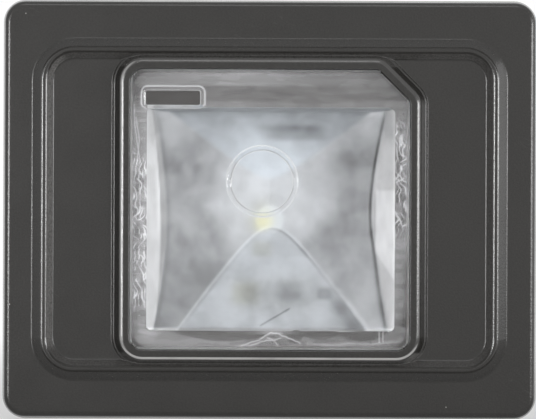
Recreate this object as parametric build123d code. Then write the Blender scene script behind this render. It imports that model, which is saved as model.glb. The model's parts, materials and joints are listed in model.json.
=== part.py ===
from build123d import *
from math import atan, degrees, hypot, sqrt
import os

# A flush LED number plate lamp. A black bezel with a raised band stands in front of the panel. A square
# clear lens with one cut corner sits in a collar at its middle. The lamp chamber, a two-pin socket, a fixed
# hook and a spring clip are behind it. Every piece is drawn face up: +Z is out of the lens, +Y is up along
# the face, and the panel is the plane Z = 0. At the end the pieces are turned so that the lens looks along
# -Y and +Z is up. Lengths are in millimetres.

# Bezel flange
bezel_side = 15.0  # from the lens to the flange's left and right edges
bezel_end = 8.25  # from the lens to its top and bottom edges
flange_corner_radius = 2.7
flange_plate = 1.8  # thickness of the face
flange_skirt_wall = 1.8  # wall that turns back round the edge
flange_draft = 0.4  # how far the sides lean in towards the face
flange_edge_round = 0.65

# Raised band on the bezel's face
band_side = 3.6  # from the flange's left and right edges
band_end = 4.6  # from its top and bottom edges
band_corner_radius = 4.9
band_rise = 1.0
band_outer_slope = 1.1
band_land = 0.55
band_inner_slope = 0.75
band_edge_round = 0.45
band_foot_round = 0.3

# Lens
lens_width = 32.4
lens_height = 32.5
lens_thickness = 2.0
lens_corner_radius = 1.5
lens_corner_cut = 3.65
lens_cut_round = 0.8
lens_edge_round = 0.1
lens_clearance = 0.12
lens_recess = 0.3  # how far the lens lies below the collar

# Ledge that the lens is bonded to, inside the lens's edge
ledge_side = 1.15
ledge_top = 3.79
ledge_bottom = 1.51
sealant_thickness = 0.3
sealant_setback = 0.2  # from the chamber's edge

# Raised ring and blank pad on the lens
ring_x = -0.88
ring_y = 3.27
ring_radius = 4.17
ring_band = 0.58
ring_rise = 0.25
ring_edge_round = 0.2
pad_x = -11.28
pad_y = 12.97
pad_length = 6.4
pad_height = 1.75
pad_depth = 0.45
pad_bevel = 0.4
pad_corner_radius = 0.25

# Collar round the lens
collar_rise = 1.5
collar_land = 1.08
collar_slope = 0.75
collar_edge_round = 0.8
collar_foot = 0.22
collar_backing_gap = 0.2  # from the panel plane

# Lamp chamber behind the bezel
chamber_corner_radius = 1.2
body_wall = 1.8
rear_wall = 1.6
body_edge_round = 0.8
ejector_mark_radius = 1.6
ejector_mark_depth = 0.15

# Clear diffuser behind the lens: a conical dish cut by two steep sides and by slanting top and bottom walls
bowl_rim = 0.45
bowl_depth = 9.8
bowl_cone_radius = 20.0  # of the cone where it would meet the lens
bowl_floor_radius = 1.7
bowl_side_run = 5.1  # how far a side wall leans in over the depth
bowl_sill = 1.5  # upright edge above the slanting walls
bowl_floor_below = 0.7  # from the bowl's middle to the foot of the bottom wall
bowl_floor_above = 2.6  # and to the foot of the top wall
bowl_wall = 1.1
diffuser_clearance = 0.15
diffuser_leg_radius = 1.0

# Light source
led_x = -0.8
led_drop = 0.4  # below the bowl's middle
led_length = 3.5
led_width = 2.8
led_height = 1.9
led_skin = 0.5  # of the bowl's floor, left over the light source
led_air = 0.15  # between that skin and the light source
led_cup_wall = 0.2
led_cup_depth = 0.7
led_key = 0.5
led_terminal = 0.2
led_terminal_width = 2.2
led_terminal_height = 0.7
led_pocket_clearance = 0.35

# Circuit board
pcb_thickness = 1.2
pcb_clearance = 0.25
pcb_corner_radius = 1.0
pcb_standoff = 1.8
post_radius = 1.3
post_inset = 1.6  # from the board's edges

# Chips on the board
resistor_length = 3.2
resistor_width = 1.6
resistor_height = 0.6
capacitor_length = 2.0
capacitor_width = 1.25
capacitor_height = 0.8
diode_length = 4.3
diode_width = 2.6
diode_height = 2.1
chip_cap = 0.4  # tinned end of a chip
chip_left_inset = 5.9  # of a chip's middle from the board's edges
chip_right_inset = 5.4
chip_top_inset = 3.2
diode_rise = 5.4  # above the board's middle
resistor_x = 0.3
resistor_pitch = 4.2
resistor_rise = 0.3
capacitor_gap = 3.8  # from the nearest blade

# Socket and blades
socket_width = 12.6
socket_height = 8.0
socket_corner_radius = 1.2
socket_wall = 1.2
socket_depth = 10.5
socket_x = -0.3
socket_lift = 5.1  # of its middle above the chamber's bottom
socket_rib = 1.0
socket_rib_gap = 7.0
latch_width = 4.4
latch_rise = 1.2
latch_length = 2.6
latch_setback = 1.4
blade_pitch = 5.4
blade_width = 1.5
blade_thickness = 0.6
blade_setback = 4.9  # of the tips from the socket's mouth
blade_point = 0.2
blade_shoulder = 0.5
blade_shoulder_height = 1.0
blade_stickout = 0.7
blade_clearance = 0.05
board_hole_clearance = 0.1
solder_radius = 1.3
solder_top_radius = 0.95
solder_height = 0.55

# Gasket
gasket_thickness = 1.6
gasket_proud = 0.6  # how far the free foam stands out behind the skirt
gasket_clearance = 0.3
fence_wall = 0.8
fence_side = 5.25  # from the collar's foot to the fence inside the gasket
fence_end = 0.25
least_round = 0.2

# Stiffening ribs behind the face
rib_thickness = 1.0
rib_pitch = 8.4
rib_gap = 0.4  # from the panel plane
rib_count = 3

# Fixing to the panel
panel_thickness = 2.0
panel_play = 0.2
hook_width = 13.0
hook_reach = 2.6
hook_nose = 1.0
hook_length = 5.2
clip_width = 11.0
clip_steel = 0.4
clip_bend_gap = 1.9
clip_bend_inset = 1.2  # of the bend from the body's rear
clip_reach = 3.9
clip_tip_reach = 1.6
clip_shoulder = 1.0  # from the panel's back to the barb's peak
clip_tip_gap = 0.5  # from the panel plane
clip_leg_gap = 2.6  # of the flat leg's end from the panel plane
clip_barb_round = 0.5
rail_wall = 1.0
rail_lip = 0.7
rail_overlap = 0.8
rail_clearance = 0.1
rail_length = 4.6
stud_radius = 0.8
stud_rise = 0.5
stud_clearance = 0.15
stud_inset = 1.9  # of the stud from the flat leg's end

# Levels above the panel plane, from the front to the back
face_level = gasket_thickness + flange_plate
band_level = face_level + band_rise
collar_level = face_level + collar_rise
lens_front = collar_level - lens_recess
lens_back = lens_front - lens_thickness
ledge_level = lens_back - sealant_thickness
bowl_floor = lens_back - bowl_depth
led_top = bowl_floor - led_skin - led_air
pcb_front = led_top - led_height
pcb_back = pcb_front - pcb_thickness
chamber_floor = pcb_back - pcb_standoff
rear_level = chamber_floor - rear_wall
socket_mouth = rear_level - socket_depth
blade_tip = socket_mouth + blade_setback
catch_level = -(panel_thickness + panel_play)

# Places and sizes that follow
flange_width = lens_width + 2 * bezel_side
flange_height = lens_height + 2 * bezel_end
band_width = flange_width - 2 * band_side
band_height = flange_height - 2 * band_end
chamber_width = lens_width - 2 * ledge_side
chamber_height = lens_height - ledge_top - ledge_bottom
chamber_drop = (ledge_top - ledge_bottom) / 2  # the chamber's middle lies this far below the lens's
body_side = chamber_width / 2 + body_wall
bowl_width = chamber_width - 2 * (diffuser_clearance + bowl_rim)
bowl_height = chamber_height - 2 * (diffuser_clearance + bowl_rim)
bowl_bottom_run = bowl_height / 2 - bowl_floor_below
bowl_top_run = bowl_height / 2 - bowl_floor_above
collar_grow = lens_clearance + collar_land
collar_base_grow = collar_grow + collar_slope
channel_width = flange_width - 2 * flange_skirt_wall
channel_height = flange_height - 2 * flange_skirt_wall
channel_corner_radius = max(flange_corner_radius - flange_skirt_wall, least_round)
fence_width = lens_width + 2 * (collar_base_grow + fence_side)
fence_height = lens_height + 2 * (collar_base_grow + fence_end)
gasket_width = channel_width - 2 * gasket_clearance
gasket_height = channel_height - 2 * gasket_clearance
gasket_corner_radius = max(channel_corner_radius - gasket_clearance, least_round)
gasket_inner_width = fence_width + 2 * gasket_clearance
gasket_inner_height = fence_height + 2 * gasket_clearance
pcb_width = chamber_width - 2 * pcb_clearance
pcb_height = chamber_height - 2 * pcb_clearance
led_cup_radius = min(led_length, led_width) / 2 - led_cup_wall
led_place = (led_x, -led_drop - chamber_drop)
chip_left = chip_left_inset - pcb_width / 2
chip_right = pcb_width / 2 - chip_right_inset
chip_top = pcb_height / 2 - chip_top_inset - chamber_drop
socket_y = socket_lift - chamber_height / 2 - chamber_drop
blade_places = [(socket_x - blade_pitch / 2, socket_y), (socket_x + blade_pitch / 2, socket_y)]
post_places = [
    (side * (pcb_width / 2 - post_inset), end * (pcb_height / 2 - post_inset) - chamber_drop)
    for side in (-1, 1)
    for end in (-1, 1)
]
hair = 0.001


def slab(outline, low, high):
    """The outline as an upright solid between two levels."""
    return extrude(Pos(0, 0, low) * outline, amount=high - low)


def sloped_slab(outline, low, high, run):
    """The outline as a solid whose walls lean in by the run from the low to the high level."""
    lean = degrees(atan(run / (high - low)))
    return extrude(Pos(0, 0, low) * outline, amount=high - low, taper=lean)


def block(length, width, low, high):
    """A box centred on the axis between two levels."""
    return slab(Rectangle(length, width), low, high)


def edges_at(solid, level):
    """The edges of a solid that lie in one level."""
    return solid.edges().filter_by_position(Axis.Z, level - hair, level + hair)


def side_profile(points, width):
    """A closed outline in the X-Z plane made as wide along Y."""
    outline = make_face(Polyline(*points, close=True))
    return extrude(Plane.XZ * outline, amount=width / 2, both=True)


def lens_outline(grow=0.0):
    """The lens outline moved outwards: three round corners and one cut off at 45 degrees."""
    right = lens_width / 2 + grow
    top = lens_height / 2 + grow
    cut = lens_corner_cut + grow * (2 - sqrt(2))
    corners = [(-right, -top), (right, -top), (right, top - cut), (right - cut, top), (-right, top)]
    plate = make_face(Polyline(*corners, close=True))
    cut_ends = [corner for corner in plate.vertices() if corner.X > 0 and corner.Y > 0]
    plate = fillet(cut_ends, lens_cut_round + grow)
    square_corners = [corner for corner in plate.vertices() if corner.X < 0 or corner.Y < 0]
    return fillet(square_corners, lens_corner_radius + grow)


def chamber_outline(grow=0.0):
    """The outline of the lamp chamber moved outwards."""
    width = chamber_width + 2 * grow
    height = chamber_height + 2 * grow
    return Pos(0, -chamber_drop) * RectangleRounded(width, height, chamber_corner_radius + grow)


def flange():
    """The bezel: a plate with a rounded front edge and a skirt that turns back to the panel."""
    outline = RectangleRounded(flange_width, flange_height, flange_corner_radius)
    plate = sloped_slab(outline, gasket_proud, face_level, flange_draft)
    plate = fillet(edges_at(plate, face_level), flange_edge_round)
    channel = RectangleRounded(channel_width, channel_height, channel_corner_radius)
    return plate - slab(channel, gasket_proud, gasket_thickness)


def band():
    """The raised band: a sloping outer side, a narrow land and a sloping inner side."""
    inset = band_outer_slope + band_land + band_inner_slope
    outer = RectangleRounded(band_width, band_height, band_corner_radius)
    inner = RectangleRounded(band_width - 2 * inset, band_height - 2 * inset, band_corner_radius - inset)
    frame = sloped_slab(outer, face_level, band_level, band_outer_slope)
    frame -= sloped_slab(inner, face_level, band_level, -band_inner_slope)
    return fillet(edges_at(frame, band_level), band_edge_round)


def banded_flange():
    """The bezel with its band, and a small round at the foot of both slopes."""
    bezel = flange() + band()
    foot = [
        edge
        for edge in edges_at(bezel, face_level)
        if abs(edge.center().X) < band_width / 2 + hair and abs(edge.center().Y) < band_height / 2 + hair
    ]
    return fillet(foot, band_foot_round)


def collar():
    """The raised collar round the lens, solid to a little short of the panel plane."""
    ring = sloped_slab(lens_outline(collar_base_grow), face_level, collar_level, collar_slope)
    ring = fillet(edges_at(ring, collar_level), collar_edge_round)
    foot = lens_outline(collar_base_grow + collar_foot)
    ring += sloped_slab(foot, face_level, face_level + collar_foot, collar_foot)
    return ring + slab(lens_outline(collar_base_grow), collar_backing_gap, face_level)


def body():
    """The lamp chamber's outside, with shallow round marks on its back."""
    shell = slab(chamber_outline(body_wall), rear_level, ledge_level)
    shell = fillet(edges_at(shell, rear_level), body_edge_round)
    for x, y in post_places:
        shell -= Pos(x, y) * slab(Circle(ejector_mark_radius), rear_level, rear_level + ejector_mark_depth)
    return shell


def fence_and_ribs():
    """The low fence that holds the gasket's inner edge, and ribs that run to it from the body."""
    inner_width = fence_width - 2 * fence_wall
    inner_height = fence_height - 2 * fence_wall
    frame = Rectangle(fence_width, fence_height) - Rectangle(inner_width, inner_height)
    ribs = slab(frame, gasket_proud, gasket_thickness)
    rib = block(fence_width - fence_wall, rib_thickness, rib_gap, gasket_thickness)
    for index in range(rib_count):
        rise = (index - (rib_count - 1) / 2) * rib_pitch
        ribs += Pos(0, rise - chamber_drop) * rib
    return ribs


def socket():
    """The shroud round the two blades, with a latch ramp between two guide ribs."""
    outline = RectangleRounded(
        socket_width + 2 * socket_wall, socket_height + 2 * socket_wall, socket_corner_radius + socket_wall
    )
    shroud = slab(outline, socket_mouth, chamber_floor)
    top = socket_height / 2 + socket_wall
    ramp_high = socket_mouth + latch_setback + latch_length
    ramp_low = socket_mouth + latch_setback
    ramp = [(top - socket_wall / 2, ramp_low), (top, ramp_low), (top + latch_rise, ramp_high)]
    ramp.append((top - socket_wall / 2, ramp_high))
    shroud += Rot(0, 0, 90) * side_profile(ramp, latch_width)
    for side in (-1, 1):
        rib = block(socket_rib, 2 * socket_rib, socket_mouth + latch_setback, chamber_floor)
        shroud += Pos(side * socket_rib_gap / 2, top) * rib
    return Pos(socket_x, socket_y) * shroud


def hook():
    """The fixed hook that goes behind the panel first."""
    wall = -body_side + body_wall / 2
    nose = -body_side - hook_reach
    outline = [
        (wall, catch_level),
        (nose, catch_level),
        (nose, catch_level - hook_nose),
        (-body_side, catch_level - hook_length),
        (wall, catch_level - hook_length),
    ]
    return Pos(0, -chamber_drop) * side_profile(outline, hook_width)


def clip_rails():
    """Two lipped rails and a stud that hold the spring clip's flat leg against the body."""
    wall = body_side - body_wall / 2
    lip_low = body_side + clip_steel + rail_clearance
    lip_high = lip_low + rail_lip
    low = rear_level + clip_bend_inset + clip_bend_gap
    high = low + rail_length
    half = clip_width / 2 + rail_clearance
    rails = Part()
    for side in (-1, 1):
        upright = block(lip_high - wall, rail_wall, low, high)
        lip = block(rail_lip, rail_wall + rail_overlap, low, high)
        rails += Pos((wall + lip_high) / 2, side * (half + rail_wall / 2)) * upright
        rails += Pos((lip_low + lip_high) / 2, side * (half + (rail_wall - rail_overlap) / 2)) * lip
    stud = Cylinder(stud_radius, body_wall + stud_rise, align=(Align.CENTER, Align.CENTER, Align.MIN))
    rails += Pos(body_side - body_wall, 0, -clip_leg_gap - stud_inset) * Rot(0, 90, 0) * stud
    return Pos(0, -chamber_drop) * rails


def housing():
    """The black moulding: bezel, collar, chamber, socket, hook and posts in one piece."""
    shell = banded_flange() + collar() + body() + fence_and_ribs() + hook() + clip_rails() + socket()
    shell -= slab(lens_outline(lens_clearance), ledge_level, collar_level)
    shell -= slab(chamber_outline(), chamber_floor, ledge_level)
    well = RectangleRounded(socket_width, socket_height, socket_corner_radius)
    shell -= Pos(socket_x, socket_y) * slab(well, socket_mouth, rear_level)
    slot_length = blade_width + 2 * blade_clearance
    slot_width = blade_thickness + 2 * blade_clearance
    slot = block(slot_length, slot_width, rear_level, chamber_floor)
    for x, y in blade_places:
        shell -= Pos(x, y) * slot
    for x, y in post_places:
        shell += Pos(x, y) * slab(Circle(post_radius), chamber_floor, pcb_back)
    return shell


def lens():
    """The clear plate with its raised ring and a shallow bevelled pad."""
    plate = slab(lens_outline(), lens_back, lens_front)
    plate = fillet(edges_at(plate, lens_front), lens_edge_round)
    ring = slab(Circle(ring_radius) - Circle(ring_radius - ring_band), lens_front, lens_front + ring_rise)
    ring = fillet(edges_at(ring, lens_front + ring_rise), ring_edge_round)
    pad_floor = RectangleRounded(pad_length, pad_height, pad_corner_radius)
    pad = sloped_slab(pad_floor, lens_front - pad_depth, lens_front, -pad_bevel)
    return plate + Pos(ring_x, ring_y) * ring - Pos(pad_x, pad_y) * pad


def lens_sealant():
    """The bead between the lens and its ledge."""
    return slab(lens_outline() - chamber_outline(sealant_setback), ledge_level, lens_back)


def bowl_end(side, run, grow):
    """Where one slanting wall starts below its sill and where it meets the floor, seen from the side."""
    half_height = bowl_height / 2 + grow
    depth = bowl_depth + grow
    slope = (bowl_depth - bowl_sill) / run
    sill = bowl_sill + grow * (hypot(1, slope) - slope)
    return (side * half_height, -sill), (side * (half_height - (depth - sill) / slope), -depth)


def bowl(grow=0.0):
    """The bowl's hollow moved outwards, below the plane of the lens's back."""
    depth = bowl_depth + grow
    cone_slope = bowl_depth / (bowl_cone_radius - bowl_floor_radius)
    mouth_radius = bowl_cone_radius + grow * hypot(1, cone_slope) / cone_slope
    floor_radius = mouth_radius - depth / cone_slope
    cone = Cone(floor_radius, mouth_radius, depth, align=(Align.CENTER, Align.CENTER, Align.MAX))
    half_width = bowl_width / 2 + grow
    lean = bowl_side_run / bowl_depth * depth
    sides = [(-half_width, 0), (half_width, 0), (half_width - lean, -depth), (lean - half_width, -depth)]
    top_sill, top_deep = bowl_end(1, bowl_top_run, grow)
    bottom_sill, bottom_deep = bowl_end(-1, bowl_bottom_run, grow)
    ends = [(top_sill[0], 0), top_sill, top_deep, bottom_deep, bottom_sill, (bottom_sill[0], 0)]
    hollow = cone & side_profile(sides, 2 * mouth_radius)
    hollow &= Rot(0, 0, 90) * side_profile(ends, 2 * mouth_radius)
    return Pos(0, -chamber_drop, lens_back) * hollow


def led_pocket():
    """The hollow under the bowl's floor that the light source stands in."""
    length = led_length + 2 * led_pocket_clearance
    width = led_width + 2 * led_pocket_clearance
    return Pos(*led_place) * block(length, width, pcb_front, bowl_floor - led_skin)


def diffuser():
    """The clear dish behind the lens, on four legs that stand on the board."""
    shell = bowl(bowl_wall)
    for x, y in post_places:
        shell += Pos(x, y) * slab(Circle(diffuser_leg_radius), pcb_front, lens_back)
    shell &= slab(chamber_outline(-diffuser_clearance), pcb_front, lens_back)
    return shell - bowl() - led_pocket()


def pcb():
    """The board, with slots for the blades."""
    board = slab(RectangleRounded(pcb_width, pcb_height, pcb_corner_radius), pcb_back, pcb_front)
    board = Pos(0, -chamber_drop) * board
    hole_length = blade_width + 2 * board_hole_clearance
    hole_width = blade_thickness + 2 * board_hole_clearance
    for x, y in blade_places:
        board -= Pos(x, y) * block(hole_length, hole_width, pcb_back, pcb_front)
    return board


def led_body():
    """The light source's white package, with a round cup and one keyed corner."""
    outline = Rectangle(led_length, led_width)
    outline = chamfer(outline.vertices().group_by(Axis.Y)[-1].sort_by(Axis.X)[0], led_key)
    package = slab(outline, pcb_front, led_top)
    return Pos(*led_place) * (package - slab(Circle(led_cup_radius), led_top - led_cup_depth, led_top))


def led_phosphor():
    """The yellow fill in the cup."""
    return Pos(*led_place) * slab(Circle(led_cup_radius), led_top - led_cup_depth, led_top)


def led_terminals():
    """The two metal tabs at the package's ends."""
    tab = block(led_terminal, led_terminal_width, pcb_front, pcb_front + led_terminal_height)
    reach = (led_length + led_terminal) / 2
    return Pos(*led_place) * (Pos(-reach, 0) * tab + Pos(reach, 0) * tab)


def chip(length, width, height):
    """A chip's body and its two tinned ends, on the board's front."""
    middle = block(length - 2 * chip_cap, width, pcb_front, pcb_front + height)
    cap = block(chip_cap, width, pcb_front, pcb_front + height)
    reach = (length - chip_cap) / 2
    return middle, Pos(-reach, 0) * cap + Pos(reach, 0) * cap


def chips():
    """Every chip's body by name, and all their tinned ends together."""
    resistor = (resistor_length, resistor_width, resistor_height)
    diode = (diode_length, diode_width, diode_height)
    capacitor = (capacitor_length, capacitor_width, capacitor_height)
    upright = Rot(0, 0, 90)
    level = Rot(0, 0, 0)
    blade_x, blade_y = blade_places[-1]
    placed = [
        ("resistor_1", resistor, Pos(resistor_x, chip_top) * level),
        ("resistor_2", resistor, Pos(resistor_x + resistor_pitch, chip_top) * level),
        ("resistor_3", resistor, Pos(chip_right, resistor_rise - chamber_drop) * upright),
        ("polarity_diode", diode, Pos(chip_left, diode_rise - chamber_drop) * upright),
        ("suppressor_diode", diode, Pos(chip_right, diode_rise - chamber_drop) * upright),
        ("chip_capacitor", capacitor, Pos(blade_x + capacitor_gap, blade_y) * upright),
    ]
    bodies = {}
    ends = Part()
    for name, size, place in placed:
        middle, caps = chip(*size)
        bodies[name] = place * middle
        ends += place * caps
    bodies["component_terminations"] = ends
    return bodies


def terminal_pin(place):
    """One blade, with a shoulder that sits on the chamber's floor and a pointed tip in the socket."""
    blade = block(blade_width, blade_thickness, blade_tip, pcb_front + blade_stickout)
    blade = chamfer(edges_at(blade, blade_tip), blade_point)
    shoulder_width = blade_width + 2 * blade_shoulder
    blade += block(shoulder_width, blade_thickness, chamber_floor, chamber_floor + blade_shoulder_height)
    return Pos(*place) * blade


def pin_solder_joints():
    """The cones of solder round the blades on the board's front."""
    joints = Part()
    blade = block(blade_width, blade_thickness, pcb_front, pcb_front + blade_stickout)
    upright = (Align.CENTER, Align.CENTER, Align.MIN)
    cone = Cone(solder_radius, solder_top_radius, solder_height, align=upright)
    for x, y in blade_places:
        joints += Pos(x, y) * (Pos(0, 0, pcb_front) * cone - blade)
    return joints


def gasket():
    """The foam ring in the channel behind the bezel."""
    ring = RectangleRounded(gasket_width, gasket_height, gasket_corner_radius)
    return slab(ring - Rectangle(gasket_inner_width, gasket_inner_height), 0, gasket_thickness)


def spring_clip():
    """The bent steel leaf: a flat leg on the body, a bend at the back, and a barb that grips the panel."""
    leg = body_side + clip_steel / 2
    bend = rear_level + clip_bend_inset
    bend_round = (clip_bend_gap - clip_steel) / 2
    path = FilletPolyline(
        (leg, -clip_leg_gap),
        (leg, bend),
        (leg + clip_bend_gap, bend),
        (body_side + clip_reach, catch_level - clip_shoulder),
        (body_side + clip_tip_reach, -clip_tip_gap),
        radius=[bend_round, bend_round, clip_barb_round],
    )
    leaf = extrude(Plane.XZ * trace(path, clip_steel), amount=clip_width / 2, both=True)
    hole = Cylinder(stud_radius + stud_clearance, clip_bend_gap)
    leaf -= Pos(leg, 0, -clip_leg_gap - stud_inset) * Rot(0, 90, 0) * hole
    return Pos(0, -chamber_drop) * leaf


def lamp():
    """Every piece by its name, face up."""
    pieces = {
        "housing": housing(),
        "lens": lens(),
        "lens_sealant": lens_sealant(),
        "diffuser": diffuser(),
        "pcb": pcb(),
        "led_body": led_body(),
        "led_phosphor": led_phosphor(),
        "led_terminals": led_terminals(),
        "pin_solder_joints": pin_solder_joints(),
        "gasket": gasket(),
        "spring_clip": spring_clip(),
    }
    pieces.update(chips())
    for index, place in enumerate(blade_places, 1):
        pieces[f"terminal_pin_{index}"] = terminal_pin(place)
    return pieces


os.makedirs("parts", exist_ok=True)
for name, piece in lamp().items():
    export_step(Rot(90, 0, 0) * piece, f"parts/{name}.step")
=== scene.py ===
# Looks, light and camera of the number plate lamp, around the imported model. Lengths are in metres, in the
# model's own frame: -Y is out of the lens, +Z is up along the face and +X is to its right. The functions
# that say how pale the dish and the bead are work in millimetres.
import json
import math

import bpy
import numpy as np
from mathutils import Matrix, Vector, noise


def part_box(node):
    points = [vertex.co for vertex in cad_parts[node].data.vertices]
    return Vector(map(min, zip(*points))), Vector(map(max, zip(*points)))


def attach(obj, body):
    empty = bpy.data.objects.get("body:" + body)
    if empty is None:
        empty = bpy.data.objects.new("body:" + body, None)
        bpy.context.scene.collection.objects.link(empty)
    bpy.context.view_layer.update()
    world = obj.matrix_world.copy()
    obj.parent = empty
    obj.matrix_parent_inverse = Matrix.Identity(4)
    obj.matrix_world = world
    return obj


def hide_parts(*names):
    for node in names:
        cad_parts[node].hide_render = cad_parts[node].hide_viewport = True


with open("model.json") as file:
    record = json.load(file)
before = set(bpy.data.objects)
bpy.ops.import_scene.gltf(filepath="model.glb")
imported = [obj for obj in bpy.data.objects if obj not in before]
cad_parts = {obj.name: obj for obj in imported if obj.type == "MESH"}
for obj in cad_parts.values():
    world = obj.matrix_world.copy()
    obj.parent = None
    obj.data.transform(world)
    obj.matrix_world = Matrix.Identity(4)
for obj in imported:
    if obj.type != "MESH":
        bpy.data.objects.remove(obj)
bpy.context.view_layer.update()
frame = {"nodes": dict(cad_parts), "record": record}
nodes = frame["nodes"]
scene = bpy.context.scene
MM = 0.001

# Places that the frame gives
housing_low, housing_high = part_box("housing")
lens_low, lens_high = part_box("lens")
bead_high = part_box("lens_sealant")[1]
dish_low, dish_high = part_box("diffuser")
board_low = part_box("pcb")[0]
led_low, led_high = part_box("led_body")
bezel_width = housing_high.x - housing_low.x
lens_back = lens_high.y
face_level = -3.4 * MM  # of the bezel's flat face
collar_level = housing_low.y
ledge = bead_high.y
dish_middle = (dish_low + dish_high) / 2
led_middle = (led_low + led_high) / 2

# The photograph's frame
photo_width = 536
photo_height = 419
bezel_pixels = 535.4  # width of the bezel in the photograph
bezel_pixel_x = 269.7  # its middle there
bezel_pixel_y = 209.7
photo_roll = math.radians(0.23)  # the lamp lies this far clockwise in the photograph
camera_distance = 420 * MM
outline_depth = 2.4 * MM  # of the bezel's outline behind the collar, where the scale is the photograph's
pixel = bezel_width / bezel_pixels

# The studio: its light on the object, and each lamp's place, width, height and brightness
ambient_light = 0.2
lamps = {
    "left_lamp": ((-0.3, -0.5, 0.0), 0.22, 0.1, 23.0),
    "right_lamp": ((0.42, -0.38, 0.04), 0.3, 0.1, 13.0),
    "side_lamp": ((0.45, -0.04, 0.05), 0.2, 0.4, 1.5),
    "top_lamp": ((0.0, -0.45, 0.45), 0.3, 0.15, 3.0),
}
floor_reach = 1.5
floor_gap = 0.05 * MM  # below the bezel
floor_fade = (0.05, 0.3)  # distances between which the floor fades to white

# Noise mostly lies between these values
noise_low = 0.3
noise_high = 0.7


class Tree:
    """The nodes of a material or of the world. Each call adds nodes and returns an output, or the node."""

    def __init__(self, owner):
        self.owner = owner
        owner.use_nodes = True
        self.nodes = owner.node_tree.nodes
        self.links = owner.node_tree.links
        self.nodes.clear()

    def node(self, kind, inputs=None, **settings):
        made = self.nodes.new(kind)
        for name, value in settings.items():
            setattr(made, name, value)
        for name, value in (inputs or {}).items():
            if isinstance(value, bpy.types.NodeSocket):
                self.links.new(value, made.inputs[name])
            else:
                made.inputs[name].default_value = value
        return made

    def place(self):
        """The point on the surface, in metres."""
        return self.node("ShaderNodeTexCoord").outputs["Object"]

    def normal(self):
        """The direction that the surface faces."""
        return self.node("ShaderNodeNewGeometry").outputs["Normal"]

    def part_of(self, vector, axis):
        return self.node("ShaderNodeSeparateXYZ", {0: vector}).outputs[axis]

    def size_along(self, vector, axis):
        """How large a vector's part along an axis is, either way."""
        return self.math("ABSOLUTE", self.part_of(vector, axis))

    def math(self, operation, first, second=0.0):
        return self.node("ShaderNodeMath", {0: first, 1: second}, operation=operation).outputs[0]

    def times(self, product, *others):
        """The product of several values."""
        for other in others:
            product = self.math("MULTIPLY", product, other)
        return product

    def ranged(self, value, low, high, to_low=0.0, to_high=1.0):
        """The value moved smoothly from one range to another, and held at its ends."""
        inputs = {"Value": value, "From Min": low, "From Max": high, "To Min": to_low, "To Max": to_high}
        return self.node("ShaderNodeMapRange", inputs, interpolation_type="SMOOTHSTEP").outputs[0]

    def within(self, value, rise, fall):
        """1 between two ranges, 0 outside them, and smooth across each."""
        return self.times(self.ranged(value, *rise), self.ranged(value, *fall))

    def spread(self, cloud, low, high):
        """Noise moved to a range."""
        return self.ranged(cloud, noise_low, noise_high, low, high)

    def stretched(self, size, stretch=(1, 1, 1), turn=0.0):
        """The point in units of a feature's size along each axis, turned in the plane of the face."""
        scale = [size * share for share in stretch]
        inputs = {"Vector": self.place(), "Scale": scale, "Rotation": (0, turn, 0)}
        return self.node("ShaderNodeMapping", inputs, vector_type="TEXTURE").outputs[0]

    def noise(self, size, detail=2.0, stretch=(1, 1, 1), distortion=0.0, turn=0.0):
        """Cloudy noise whose features are about that size."""
        inputs = {
            "Vector": self.stretched(size, stretch, turn),
            "Scale": 1.0,
            "Detail": detail,
            "Distortion": distortion,
        }
        return self.node("ShaderNodeTexNoise", inputs).outputs[0]

    def cells(self, size, **settings):
        """Distance from the nearest of strewn points, in units of the size of their cells."""
        inputs = {"Vector": self.stretched(size), "Scale": 1.0}
        return self.node("ShaderNodeTexVoronoi", inputs, **settings).outputs["Distance"]

    def specks(self, spacing, radius):
        """1 inside sparse round specks and 0 elsewhere."""
        return self.ranged(self.cells(spacing), radius / spacing, 0.6 * radius / spacing)

    def hairlines(self, length, width, share, turn):
        """1 along sparse fine scratches and 0 elsewhere."""
        bend = 0.6
        fineness = 0.02  # how far from the noise's middle value a scratch reaches
        fade = 0.04
        lines = self.noise(width, 1.0, (length / width, length / width, 1), bend, turn)
        from_middle = self.math("ABSOLUTE", self.math("SUBTRACT", lines, 0.5))
        here = self.ranged(self.noise(length, 1.0, turn=turn), 1 - share, 1 - share + fade)
        return self.times(self.ranged(from_middle, fineness, 0.0), here)

    def mixed(self, share, first, second):
        """A colour between two others."""
        inputs = {0: share, 6: first, 7: second}
        return self.node("ShaderNodeMix", inputs, data_type="RGBA").outputs[2]

    def edge_fade(self, axis, edge):
        """1 well inside an edge on either side of the middle, and 0 at it."""
        along = self.size_along(self.place(), axis)
        return self.ranged(along, abs(edge) - 0.15 * MM, abs(edge) - 0.35 * MM)

    def attribute(self, name):
        return self.node("ShaderNodeAttribute", attribute_name=name).outputs["Fac"]

    def rounded(self, radius):
        """The surface's normal with its edges rounded to that radius."""
        return self.node("ShaderNodeBevel", {"Radius": radius}, samples=6).outputs[0]

    def edges(self, normal):
        """1 on the edges that a rounded normal turns, and 0 on the flats."""
        flat = self.node("ShaderNodeNewGeometry").outputs["True Normal"]
        inputs = {0: normal, 1: flat}
        cosine = self.node("ShaderNodeVectorMath", inputs, operation="DOT_PRODUCT").outputs["Value"]
        return self.ranged(cosine, 0.99, 0.9)

    def bump(self, height, depth, normal=None):
        inputs = {"Height": height, "Distance": depth, "Strength": 1.0}
        if normal is not None:
            inputs["Normal"] = normal
        return self.node("ShaderNodeBump", inputs).outputs[0]

    def principled(self, **inputs):
        named = {name.replace("_", " "): value for name, value in inputs.items()}
        return self.node("ShaderNodeBsdfPrincipled", named).outputs[0]

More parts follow.
